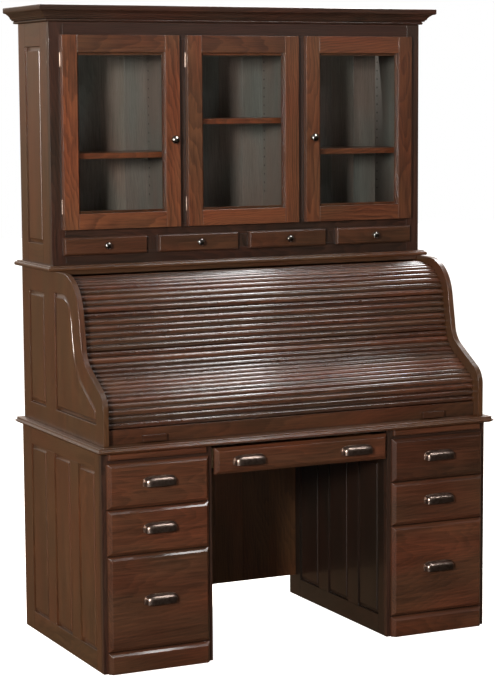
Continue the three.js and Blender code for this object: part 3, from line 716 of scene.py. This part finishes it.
def knee_drawer():
    body = "knee_drawer"
    front = Piece("knee_drawer_front")
    half, box_half = KNEE_DRAWER["half"], KNEE_DRAWER["box_half"]
    bevelled_front(front, (-half, half), KNEE_DRAWER["z"], -GAP, FRONT_THICK - GAP, BEVEL, 0.7)
    front.make("front", body, "front_wood", [body], bevel=1.2)
    drawer_box("knee_drawer_box", body, (-box_half, box_half), (-GAP, KNEE_DRAWER["depth"]),
               KNEE_DRAWER["box_z"], BOX["wall"], BOX["floor"])
    for side, sign in SIDES.items():
        cup_pull(f"knee_{side}_cup", body, sign * KNEE_PULL["x"], KNEE_PULL["z"], f"knee_{side}_pull")


def writing_boards():
    """A board in a border of four strips, behind a bevelled nose."""
    half, depth, z = WRITING["board_half"], WRITING["depth"], WRITING["board_z"]
    border_x, border_y = WRITING["border"]
    field = half - border_x
    for side, sign in SIDES.items():
        mid = sign * PEDESTAL_MID
        body = f"{side}_writing_board"
        piece = Piece(f"{side}_pull_out_board")
        piece.board((mid - field, mid + field), (border_y, depth - border_y), z, "X")
        for x in ((mid - half, mid - field), (mid + field, mid + half)):
            piece.board(x, (0, depth), z, "Y")
        for y in ((0, border_y), (depth - border_y, depth)):
            piece.board((mid - field, mid + field), y, z, "X")
        bevelled_front(piece, (mid - WRITING["half"], mid + WRITING["half"]), WRITING["z"], -GAP,
                       WRITING["nose"] - GAP, WRITING["bevel"], 0.6)
        piece.make("front", body, "front_wood", [body])


# ---- Tops ----
def quarter(centre, radius, begin, finish, steps=6):
    """Points of a round, as (height, inset), from one angle to another in degrees."""
    angles = [math.radians(begin + (finish - begin) * k / steps) for k in range(steps + 1)]
    return [(centre[0] + radius * math.sin(a), centre[1] + radius * math.cos(a)) for a in angles]


# Edge profiles from the bottom up, as (height, inset)
TOP_EDGE = [(0, 12), (1.5, 8.6), (4, 4.4), (6.4, 1.8), (7.2, 0.4), (8.4, 0), (9.8, 0.3), (10.8, 1.4),
            (11.4, 3.4), (13.6, 5.4), (16.6, 6.4), (17.8, 6.8), (18.4, 5.6), (19.6, 5), (21, 5.6),
            (22, 7.4)]
DECK_EDGE = [(0, 3), (1, 1.2), (2.6, 0), (7.6, 0), *quarter((7.6, 6), 6, 180, 100), (13.6, 7.4),
             (16.4, 7.8), (17.6, 9), (18, 10.5)]
HEADER = {"half": 712, "y": (432, 450), "height": 14}


def moulded_board(piece, z, x, y, profile):
    """A board with its bottom at z and the same edge profile all round."""
    rings = [across("Z", rectangle(x, y, inset), z + height) for height, inset in profile]
    piece.solid(rings, "X", 0.45)


def tops():
    x, y, z = limits("desk_top")
    top = Piece("desk_top_board")
    moulded_board(top, z[0], x, y, TOP_EDGE)
    top.make("carcass", "desk", "carcass_wood", ["desk_top"], bevel=0.8)

    x, y, z = limits("deck_board")
    bottom = z[1] - DECK_EDGE[-1][0]
    deck = Piece("hutch_floor_board")
    moulded_board(deck, bottom, x, y, DECK_EDGE)
    # The header under the deck's edge gets a dark tint: painted shade beneath the deck.
    deck.board((-HEADER["half"], HEADER["half"]), HEADER["y"], (bottom - HEADER["height"], bottom),
               "X", 0.1)
    deck.make("carcass", "desk", "carcass_wood", ["deck_board"], bevel=0.5)


# ---- Roll section ----
ROLL_HALF = 733
ROLL_FRONT = -5
ROLL_Z = (768.3, 1317.7)
DECK_BOTTOM = 1318
S_CORNERS = [(ROLL_FRONT, 925, 75), (176.5, 1033.5, 89), (229, DECK_BOTTOM, 150)]
S_PANEL = {"setback": 66, "z": (835, 1246), "back": 436, "low_radius": 22, "high_radius": 90}
REAR_PANEL = {"y": (536, 690), "z": (833, 1236)}


def front_panel(inset):
    """The S-shaped panel's outline, at the same distance from the side's own edge all along it."""
    low, bend, high = set_back((ROLL_FRONT, ROLL_Z[0]), S_CORNERS, (BACK, DECK_BOTTOM),
                               S_PANEL["setback"] + inset)
    bottom, top = S_PANEL["z"][0] + inset, S_PANEL["z"][1] - inset
    corners = [(low[0], low[1], S_PANEL["low_radius"] - inset), bend,
               (high[0], top, S_PANEL["high_radius"] - inset)]
    back = S_PANEL["back"] - inset
    return fillet((low[0], bottom), corners, (back, top)) + [Vector((back, bottom))]


def rear_panel(inset):
    return rectangle(REAR_PANEL["y"], REAR_PANEL["z"], inset)


def roll_sides():
    corners = [(a, min(b, ROLL_Z[1]), r) for a, b, r in S_CORNERS]
    outline = fillet((ROLL_FRONT, ROLL_Z[0]), corners, (BACK, ROLL_Z[1]), 20)
    outline.append(Vector((BACK, ROLL_Z[0])))
    for side, sign in SIDES.items():
        face = sign * ROLL_HALF
        piece = Piece(f"{side}_roll_panelling")
        holes = [front_panel(0), rear_panel(0)]
        piece.plate("X", outline, holes, (face, face - sign * BOARD), "Z", 0.4)
        for panel in (front_panel, rear_panel):
            raised_panel(piece, face, sign, panel)
        piece.make("carcass", "desk", "carcass_wood", [f"{side}_roll_side"], bevel=1.6)


# ---- Curtain ----
SLAT_PITCH = 22
SLAT_HALF = 10.6
SLAT_HEIGHT = 10
END_SLAT_TRIM = 0.95               # the slats beside a fold are narrower, to clear each other
SLATS_IN_SECTION = [4, 7, 4, 6, 4, 6]
CURTAIN_HALF = 712.4
CURTAIN_BOTTOM = 818.1
CANVAS = {"setback": 46, "thick": 1.1, "margin": 12, "end_share": 0.17}
TOP_RISE = {"height": 17, "from": 262, "to": 420}
RAIL_Y = (27, 42)
RAIL_PULL = {"x": 540, "half": 44}
# A finger pull in section, as (y, z): a lip over a hollow
RAIL_HOOK = [(28, 795), (15, 795), (14, 794), (14, 773), (15, 772), (18, 772), (19, 785), (23, 789),
             (28, 789)]


def canvas_line():
    """The line of the curtain's canvas in a closed roll, which climbs a little to meet the deck."""
    setback = CANVAS["setback"]
    corners = set_back((ROLL_FRONT, ROLL_Z[0]), S_CORNERS, (BACK, DECK_BOTTOM), setback)
    top = corners[-1][1]
    points = fillet((ROLL_FRONT + setback, CURTAIN_BOTTOM), corners, (380, top), 40)
    points += [Vector((y, top)) for y in range(390, 560, 10)]
    begin, end = TOP_RISE["from"], TOP_RISE["to"]
    for point in points:
        share = min(max((point.x - begin) / (end - begin), 0), 1)
        point.y += TOP_RISE["height"] * share * share * (3 - 2 * share)
    return Line(points)


def slat_profile(steps=12):
    """A slat in section, as (distance along the canvas, height above it)."""
    angles = [math.pi * k / steps for k in range(steps + 1)]
    return [(SLAT_HALF * math.cos(angle), SLAT_HEIGHT * math.sin(angle) ** 0.9) for angle in angles]


def curtain():
    line, profile = canvas_line(), slat_profile()
    number = 0
    for section, count in enumerate(SLATS_IN_SECTION, 1):
        body = "lift_rail" if section == 1 else f"tambour_{section}"
        slats = Piece(f"slats_{section}")
        under = []
        for k in range(count):
            trim = END_SLAT_TRIM if k in (0, count - 1) else 1
            middle = (number + 0.5) * SLAT_PITCH
            spot, along = line.point(middle), line.along(middle)
            rise = Vector((-along.y, along.x))
            outline = [spot + along * u * trim + rise * h for u, h in profile]
            slats.prism("X", outline, (-CURTAIN_HALF, CURTAIN_HALF), "X")
            under += [spot - along * SLAT_HALF, spot + along * SLAT_HALF]
            number += 1
        slats.make("slat", body, "slat_wood", [f"tambour_{section}"], bevel=0.5)
        canvas_strip(section, body, under)


def canvas_strip(section, body, under):
    """The canvas under one section, which stops short of the section's ends."""
    share = CANVAS["end_share"]
    upper = [under[0].lerp(under[1], share), *under[1:-1], under[-1].lerp(under[-2], share)]
    lower = []
    for k, point in enumerate(upper):
        along = (upper[min(k + 1, len(upper) - 1)] - upper[max(k - 1, 0)]).normalized()
        lower.append(point - Vector((-along.y, along.x)) * CANVAS["thick"])
    half = CURTAIN_HALF - CANVAS["margin"]
    cloth = Piece(f"canvas_{section}")
    cloth.prism("X", upper + lower[::-1], (-half, half), "X")
    cloth.make("canvas", body, "slat_wood", bevel=0)


def lift_rail():
    x, _, z = limits("lift_rail")
    piece = Piece("lift_rail_board")
    piece.board(x, RAIL_Y, z, "X", 0.45)
    for sign in SIDES.values():
        middle = sign * RAIL_PULL["x"]
        piece.prism("X", RAIL_HOOK, (middle - RAIL_PULL["half"], middle + RAIL_PULL["half"]), "X", 0.3)
    piece.make("front", "lift_rail", "front_wood", ["lift_rail"], bevel=1.2)


def organiser():
    """A row of open pigeonholes behind the curtain."""
    x, y, z = limits("organiser")
    wall, columns = 12, 5
    piece = Piece("pigeonholes")
    for height in ((z[0], z[0] + wall), (z[1] - wall, z[1])):
        piece.board(x, (y[0], y[1] - wall), height, "X")
    pitch = (x[1] - x[0] - wall) / columns
    for k in range(columns + 1):
        left = x[0] + k * pitch
        piece.board((left, left + wall), (y[0] + 1, y[1] - wall), (z[0] + wall, z[1] - wall), "Z")
    piece.board(x, (y[1] - wall, y[1]), z, "X")
    piece.make("door", "desk", "interior_wood", ["organiser"])


# ---- Hutch ----
HUTCH_HALF = 731
HUTCH_FRONT = 455
HUTCH_Z = (1336.3, 2172.7)
HUTCH_PANEL_Y = (540, 694)
HUTCH_PANEL_Z = (1405, 2091)
# The face frame's rails with their tints, its posts between the doors and between the drawers
HUTCH_RAILS = [((1336.3, 1378), 0.2), ((1423, 1470), 0.3), ((2116, HUTCH_Z[1]), 0.35)]
HUTCH_STILE_INNER = 680
DOOR_POST = {"x": (208, 262), "z": (1470, 2116)}
DRAWER_POSTS = {"x": [(-386, -326), (-30, 30), (326, 386), (-682, -679), (679, 682)],
                "z": (1378, 1423)}
LINING = {"thick": 1.2, "y": (476, 747), "z": (1459, 2171)}
FLOOR_Z = (1440, 1458)
DIVIDER = {"x": (-356, 0, 356), "half": 9}
PIN_HOLES = {"y": (515, 732), "first": 1560, "pitch": 32, "count": 16}
DOOR = {"half": 220, "pitch": 470, "bottom": 1458, "top": 2128, "stile": 55, "rail": 60, "thick": 20}
DOOR_KNOB = {"x": 276, "z": 1764, "radius": 15, "reach": 27}
HINGE = {"radius": 3.2, "half": 25, "out": 2, "behind": 5, "above": 80, "below": 85}
BEAD = {"wide": 9, "let_in": 0.5, "front": 448.6}
HUTCH_DRAWER = {"xs": (-534, -178, 178, 534), "half": 156, "z": (1370, 1431), "thick": 16,
                "bevel": 4.5, "box_half": 146, "box_z": (1380, 1420), "depth": 265, "wall": 9,
                "floor": 6}
SMALL_KNOB = {"radius": 13, "reach": 24}
# A turned knob, as shares of its (radius, reach)
KNOB_SHAPE = [(0.62, 0), (0.62, 0.08), (0.44, 0.14), (0.36, 0.3), (0.4, 0.42), (0.66, 0.5),
              (0.9, 0.58), (1.0, 0.68), (0.97, 0.8), (0.8, 0.92), (0.5, 0.985), (0.2, 1.0), (0.02, 1.0)]


def hutch_sides():
    for side, sign in SIDES.items():
        piece = Piece(f"{side}_hutch_panelling")
        panelled_side(piece, sign * HUTCH_HALF, sign, (HUTCH_FRONT + BOARD + GAP, BACK), HUTCH_Z,
                      [HUTCH_PANEL_Y], HUTCH_PANEL_Z)
        piece.make("carcass", "desk", "carcass_wood", [f"{side}_hutch_side"])
        # A thin lining over the sides' inner faces in the paler inside wood: painted light.
        lining = Piece(f"{side}_hutch_lining")
        inner = HUTCH_HALF - BOARD
        lining.board(between(inner, inner - LINING["thick"], sign), LINING["y"], LINING["z"], "Z", 0.4)
        lining.make("inside", "desk", "interior_wood", bevel=0)


def hutch_frame():
    y = (HUTCH_FRONT, HUTCH_FRONT + BOARD)
    piece = Piece("hutch_front_frame")
    for sign in SIDES.values():
        piece.board(between(HUTCH_HALF, HUTCH_STILE_INNER, sign), y, HUTCH_Z, "Z", 0.45)
        piece.board(between(*DOOR_POST["x"], sign), y, DOOR_POST["z"], "Z", 0.35)
    for z, tint in HUTCH_RAILS:
        piece.board((-HUTCH_STILE_INNER, HUTCH_STILE_INNER), y, z, "X", tint)
    for x in DRAWER_POSTS["x"]:
        piece.board(x, y, DRAWER_POSTS["z"], "Z", 0.3)
    piece.make("frame", "desk", "carcass_wood", ["hutch_face_frame"])


# The crown's front from the bottom up, as (height, distance outwards)
CROWN = [(0, 0), *quarter((5, 6), 5, 270, 450, 6)[1:-1], (10, 8), (11, 16), (15, 17),
         *[(17 + 18 * k / 7, 22 + 16 * (1 - math.cos(math.pi / 2 * k / 7))) for k in range(8)],
         (36, 44), (38, 47.4), (40, 48), (54, 48), (55.4, 46.8), (56, 45)]


def crown():
    """Three lengths of crown moulding mitred at the front corners, a back rail and a dust cover."""
    bottom = HUTCH_Z[1] + GAP
    thick = 20
    back = BACK + 22
    inner_half, inner_front, inner_back = HUTCH_HALF - thick, HUTCH_FRONT + thick, 740
    shape = [*CROWN, (CROWN[-1][0], -thick), (0, -thick)]
    piece = Piece("crown_moulding")

    def corner(sign):
        return [(sign * (HUTCH_HALF + out), HUTCH_FRONT - out, bottom + h) for h, out in shape]

    piece.solid([corner(-1), corner(1)], "X", 0.5)
    for sign in SIDES.values():
        rear = [(sign * (HUTCH_HALF + out), back, bottom + h) for h, out in shape]
        piece.solid([corner(sign), rear], "Y", 0.4)
    x = (-inner_half, inner_half)
    piece.board(x, (inner_back, back), (bottom, bottom + 54), "X")
    piece.board(x, (inner_front, inner_back), (bottom + 44, bottom + 53), "X")
    piece.make("frame", "desk", "carcass_wood", ["crown"], bevel=1.0)


def hutch_back():
    """Grooved planks, stained dark behind and made paler towards the shelves as painted light."""
    x, y, z = limits("hutch_back")
    middle = (y[0] + y[1]) / 2
    count, groove = 15, 1.6
    outer = planks("hutch_planks", x, (middle, y[1]), z, count)
    outer.make("carcass", "desk", "carcass_wood", ["hutch_back"], bevel=groove)
    inner = planks("hutch_inner_planks", x, (y[0], middle), z, count)
    inner.make("inside", "desk", "interior_wood", bevel=groove)


def hutch_inside():
    """The floor over the small drawers with the dividers under it, the partitions and shelves."""
    x, y, z = limits("hutch_deck")
    piece = Piece("hutch_inner_floor")
    piece.board(x, y, FLOOR_Z, "X")
    for middle in DIVIDER["x"]:
        piece.board((middle - DIVIDER["half"], middle + DIVIDER["half"]), y, (z[0], FLOOR_Z[0]), "Y")
    # The floor and partitions take the paler inside wood: painted light.
    piece.make("inside", "desk", "carcass_wood", ["hutch_deck"])
    for side in SIDES:
        inner_board(f"{side}_partition", "Z", "inside")
    for side in ("left", "middle", "right"):
        inner_board(f"{side}_shelf", "X", "door", bevel=1.5, tint=1.0)
    pin_holes()


def pin_holes():
    """Rows of shelf-pin sleeves on both faces of each bay."""
    piece = Piece("shelf_pin_sleeves")
    faces = [(-709.8, 1), (-244, -1), (-226, 1), (226, -1), (244, 1), (709.8, -1)]
    turns = [2 * math.pi * k / 12 for k in range(12)]
    sleeve = [(3.2, -0.4), (3.2, 0.35), (2.2, 0.35), (2.0, 0.1)]
    for face, towards in faces:
        for y in PIN_HOLES["y"]:
            for step in range(PIN_HOLES["count"]):
                z = PIN_HOLES["first"] + PIN_HOLES["pitch"] * step
                rings = [[(face + towards * out, y + r * math.cos(t), z + r * math.sin(t)) for t in turns]
                         for r, out in sleeve]
                piece.solid(rings, "X")
    piece.make("hole", "desk", "pull_metal", bevel=0)


def knob(name, body, spot, radius, reach):
    """A turned knob on a face at spot = (x, y, z), reaching towards -Y."""
    piece = Piece(name)
    piece.lathe(spot, [(r * radius, h * reach) for r, h in KNOB_SHAPE])
    piece.make("knob", body, "pull_metal", bevel=0)


def doors():
    face = HUTCH_FRONT - DOOR["thick"] - GAP
    for side, sign in {"left": -1, "middle": 0, "right": 1}.items():
        body = f"{side}_door"
        mid = sign * DOOR["pitch"]
        x = (mid - DOOR["half"], mid + DOOR["half"])
        z = (DOOR["bottom"], DOOR["top"])
        light_x = (x[0] + DOOR["stile"], x[1] - DOOR["stile"])
        light_z = (z[0] + DOOR["stile"], z[1] - DOOR["rail"])
        door_frame(side, body, (face, HUTCH_FRONT - GAP), x, z, light_x, light_z)
        glazing_bead(side, body, light_x, light_z)
        hinge_x = x[1] + HINGE["out"] if sign > 0 else x[0] - HINGE["out"]
        door_hinges(side, hinge_x, (z[0] + HINGE["above"], z[1] - HINGE["below"]))
        if sign:
            knob(f"{side}_door_knob", body, (sign * DOOR_KNOB["x"], face, DOOR_KNOB["z"]),
                 DOOR_KNOB["radius"], DOOR_KNOB["reach"])
        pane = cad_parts[f"{side}_glass"].data.materials
        pane.clear()
        pane.append(MATERIALS["glass"])


def door_frame(side, body, y, x, z, light_x, light_z):
    """Two stiles and two rails around the pane's opening."""
    piece = Piece(f"{side}_door_frame")
    piece.board((x[0], light_x[0]), y, z, "Z")
    piece.board((light_x[1], x[1]), y, z, "Z")
    piece.board(light_x, y, (z[0], light_z[0]), "X")
    piece.board(light_x, y, (light_z[1], z[1]), "X")
    piece.make("door", body, "front_wood", [body], bevel=1.2)


def glazing_bead(side, body, x, z):
    """Four thin strips that hold the pane in from behind, let into the frame a little."""
    bead = Piece(f"{side}_glazing_bead")
    y = (BEAD["front"], HUTCH_FRONT - 2 * GAP)
    wide, let_in = BEAD["wide"], BEAD["let_in"]
    for strip in ((x[0] - let_in, x[0] + wide), (x[1] - wide, x[1] + let_in)):
        bead.board(strip, y, z, "Z")
    for strip in ((z[0] - let_in, z[0] + wide), (z[1] - wide, z[1] + let_in)):
        bead.board((x[0] + wide, x[1] - wide), y, strip, "X")
    bead.make("door", body, "front_wood", bevel=0.8)


def door_hinges(side, x, heights):
    """The knuckles of two hinges, which stay with the desk."""
    for height in heights:
        knuckle = Piece(f"{side}_door_hinge")
        ends = (height - HINGE["half"], height + HINGE["half"])
        knuckle.rod((x, HUTCH_FRONT - HINGE["behind"]), HINGE["radius"], ends)
        knuckle.make("bronze", "desk", "pull_metal")


def small_drawers():
    size = HUTCH_DRAWER
    y = (HUTCH_FRONT - GAP, HUTCH_FRONT + size["depth"])
    for number, mid in enumerate(size["xs"], 1):
        body = f"hutch_drawer_{number}"
        front = Piece(f"{body}_front")
        bevelled_front(front, (mid - size["half"], mid + size["half"]), size["z"], y[0],
                       size["thick"] - GAP, size["bevel"], RANDOM.uniform(0.3, 0.5))
        front.make("front", body, "front_wood", [body], bevel=1.2)
        drawer_box(f"{body}_box", body, (mid - size["box_half"], mid + size["box_half"]), y,
                   size["box_z"], size["wall"], size["floor"])
        knob(f"{body}_knob", body, (mid, HUTCH_FRONT - size["thick"], sum(size["z"]) / 2),
             SMALL_KNOB["radius"], SMALL_KNOB["reach"])


# ---- The whole scene ----
MATERIALS = make_materials()
make_camera()
studio()
pedestal_sides()
face_frames()
for pedestal in SIDES:
    plank_back(f"{pedestal}_pedestal_planks", f"{pedestal}_pedestal_back", 4)
plank_back("kneehole_planks", "modesty_panel", 6, groove=0.8)
pedestal_drawers()
knee_drawer()
writing_boards()
tops()
roll_sides()
plank_back("roll_planks", "roll_back", 15)
curtain()
lift_rail()
organiser()
hutch_sides()
hutch_frame()
hutch_back()
crown()
hutch_inside()
doors()
small_drawers()
